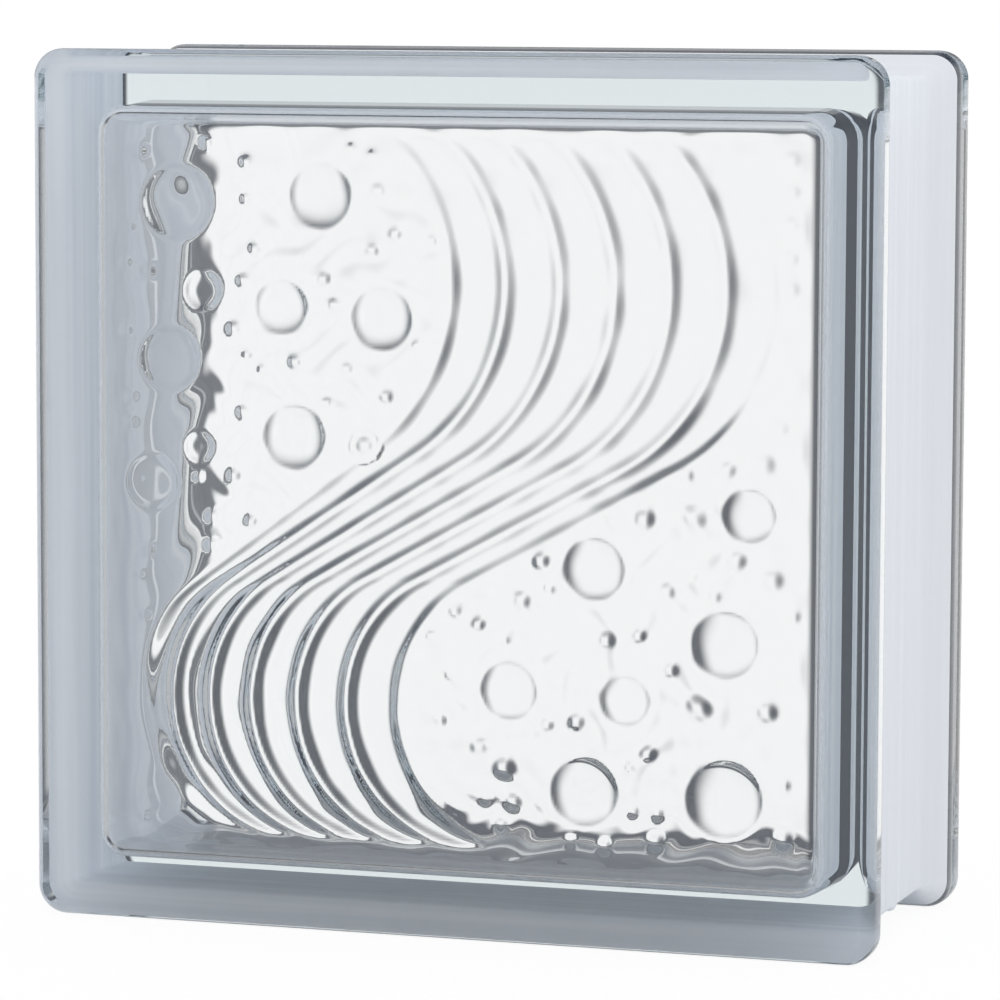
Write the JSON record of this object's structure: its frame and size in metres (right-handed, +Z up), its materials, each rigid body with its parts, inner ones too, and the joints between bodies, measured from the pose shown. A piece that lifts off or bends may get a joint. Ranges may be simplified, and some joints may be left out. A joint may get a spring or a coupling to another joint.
{
  "type": "glass block",
  "caption": "Square hollow glass building block with smooth faces, wave ribs and bubbles pressed inside, lips round both faces and a mortar channel round the edge.",
  "frame": {"origin": "middle of the footprint, on the plane of the lower lips that the block stands on", "axes": "+Z up, +X to the right seen from the front, front face looking along -Y, depth along Y"},
  "size_m": [0.19, 0.08, 0.19],
  "materials": {
    "glass": "clear pressed glass, smooth outside"
  },
  "bodies": {
    "root": {"glass_block": "glass"}
  },
  "joints": []
}
